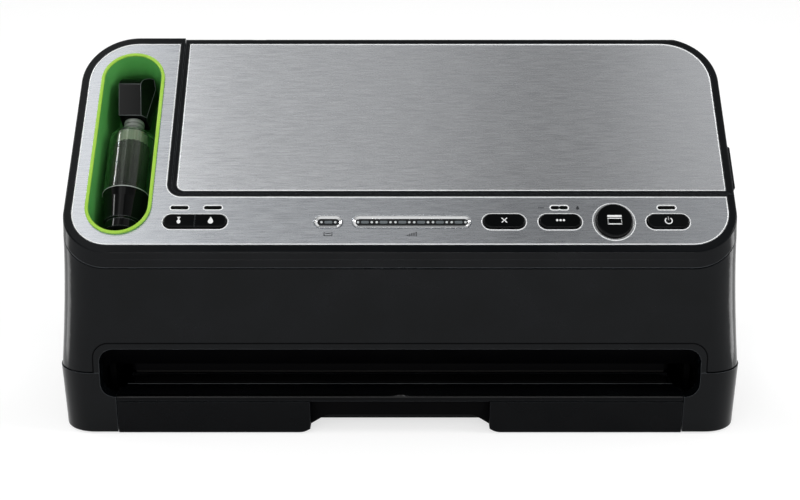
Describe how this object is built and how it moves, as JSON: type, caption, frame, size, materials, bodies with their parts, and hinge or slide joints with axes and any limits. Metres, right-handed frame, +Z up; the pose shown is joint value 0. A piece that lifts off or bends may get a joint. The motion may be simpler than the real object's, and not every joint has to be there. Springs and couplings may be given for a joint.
{
  "type": "vacuum sealer",
  "caption": "Countertop vacuum sealer with sloping brushed-steel top, hinged roll compartment, pocketed handheld sealer, bag slot and pull-out drip tray.",
  "frame": {"origin": "on the resting plane, under the middle of the body", "axes": "+X to the right along the width, -Y towards the front with the bag slot, +Z up"},
  "size_m": [0.438, 0.237, 0.2374],
  "materials": {
    "black_gloss": "moulded black, satin gloss",
    "brushed_steel": "brushed along the width",
    "black_matte": "moulded black, matt",
    "bright_metal": "bright plated trim",
    "machined_steel": "machined",
    "motor_steel": "pressed steel can",
    "smoke_lens": "translucent lens",
    "circuit_board": "coated circuit board",
    "green_tub": "moulded mid green",
    "lime_rim": "moulded bright lime",
    "clear_tank": "clear moulded plastic",
    "filter_white": "milky filter sleeve",
    "hose_black": "black rubber",
    "heater_tape": "woven non-stick tape"
  },
  "bodies": {
    "housing": {"base_housing": "black_gloss", "upper_housing": "black_gloss", "top_cover": "black_gloss", "control_plate": "brushed_steel", "roll_bin": "black_matte", "cutter_rail": "black_matte", "lid_hinge_pins": "machined_steel", "seal_trim_ring": "bright_metal", "window_frames": "bright_metal", "tray_full_window": "smoke_lens", "progress_window": "smoke_lens", "indicator_lights": "smoke_lens", "control_board": "circuit_board", "key_switches": "circuit_board", "accessory_pocket": "green_tub", "pocket_rim": "lime_rim", "reel_axle": "machined_steel", "reel_bracket": "black_matte", "slot_throat": "black_matte", "shaft_brackets": "machined_steel", "clamp_motor": "motor_steel", "motor_mount": "machined_steel", "vacuum_pump": "motor_steel", "pump_motor": "motor_steel", "vacuum_manifold": "black_matte", "vacuum_tube": "hose_black", "power_board": "circuit_board", "transformer": "motor_steel", "rubber_feet": "hose_black", "base_screws": "machined_steel", "cord_inlet": "black_matte"},
    "lid": {"lid_frame": "black_gloss", "lid_plate": "brushed_steel"},
    "cutter": {"cutter_carriage": "black_matte", "cutter_blade": "machined_steel"},
    "accessory_key": {"accessory_button": "black_gloss"},
    "marinate_key": {"marinate_button": "black_gloss"},
    "cancel_key": {"cancel_button": "black_gloss"},
    "food_key": {"food_button": "black_gloss"},
    "seal_key": {"seal_button": "black_gloss"},
    "power_key": {"power_button": "black_gloss"},
    "handheld": {"handheld_cup": "black_gloss", "suction_ring": "hose_black", "handheld_reservoir": "clear_tank", "handheld_filter": "filter_white", "handheld_head": "black_gloss", "handheld_hose": "hose_black"},
    "reel": {"hose_reel": "black_matte", "wound_hose": "hose_black"},
    "tray": {"drip_tray": "black_gloss", "counter_pad": "hose_black"},
    "jaw": {"upper_jaw": "black_matte", "jaw_gasket": "hose_black", "heater_bar": "machined_steel", "heater_tape": "heater_tape"},
    "cams": {"camshaft": "machined_steel", "clamp_gear": "black_matte"},
    "pinion": {"clamp_pinion": "black_matte"}
  },
  "joints": [
    {"name": "lid_hinge", "type": "hinge", "parent": "housing", "child": "lid", "pos_m": [0, 0.00191, 0.23315], "axis": [-1, 0, 0], "range_deg": [0, 140]},
    {"name": "cutter_slide", "type": "slide", "parent": "housing", "child": "cutter", "axis": [1, 0, 0], "range_m": [0, 0.2979]},
    {"name": "accessory_press", "type": "slide", "parent": "housing", "child": "accessory_key", "axis": [0, 0.7071, -0.7071], "range_m": [0, 0.0009], "stiffness_N_per_m": 1500},
    {"name": "marinate_press", "type": "slide", "parent": "housing", "child": "marinate_key", "axis": [0, 0.7071, -0.7071], "range_m": [0, 0.0009], "stiffness_N_per_m": 1500},
    {"name": "cancel_press", "type": "slide", "parent": "housing", "child": "cancel_key", "axis": [0, 0.7071, -0.7071], "range_m": [0, 0.0009], "stiffness_N_per_m": 1500},
    {"name": "food_press", "type": "slide", "parent": "housing", "child": "food_key", "axis": [0, 0.7071, -0.7071], "range_m": [0, 0.0009], "stiffness_N_per_m": 1500},
    {"name": "seal_press", "type": "slide", "parent": "housing", "child": "seal_key", "axis": [0, 0.7071, -0.7071], "range_m": [0, 0.0009], "stiffness_N_per_m": 1500},
    {"name": "power_press", "type": "slide", "parent": "housing", "child": "power_key", "axis": [0, 0.7071, -0.7071], "range_m": [0, 0.0009], "stiffness_N_per_m": 1500},
    {"name": "handheld_lift", "type": "slide", "parent": "housing", "child": "handheld", "axis": [0, -0.7071, 0.7071], "range_m": [0, 0.095]},
    {"name": "reel_spin", "type": "hinge", "parent": "housing", "child": "reel", "pos_m": [-0.1775, 0.0534, 0.08988], "axis": [1, 0, 0], "range_deg": [0, 156]},
    {"name": "tray_slide", "type": "slide", "parent": "housing", "child": "tray", "axis": [0, -1, 0], "range_m": [0, 0.07]},
    {"name": "cam_turn", "type": "hinge", "parent": "housing", "child": "cams", "pos_m": [0, -0.068, 0.075], "axis": [-1, 0, 0], "range_deg": [0, 60]},
    {"name": "jaw_lower", "type": "slide", "parent": "housing", "child": "jaw", "axis": [0, 0, -1], "range_m": [0, 0.0056]},
    {"name": "pinion_spin", "type": "hinge", "parent": "housing", "child": "pinion", "pos_m": [0.178, -0.032, 0.075], "axis": [-1, 0, 0], "range_deg": [-300, 0]}
  ],
  "couplings": [
    {"joint": "reel_spin", "follows": "handheld_lift", "rad_per_m": 28.571},
    {"joint": "jaw_lower", "follows": "cam_turn", "m_per_rad": 0.0053476},
    {"joint": "pinion_spin", "follows": "cam_turn", "ratio": -5}
  ]
}
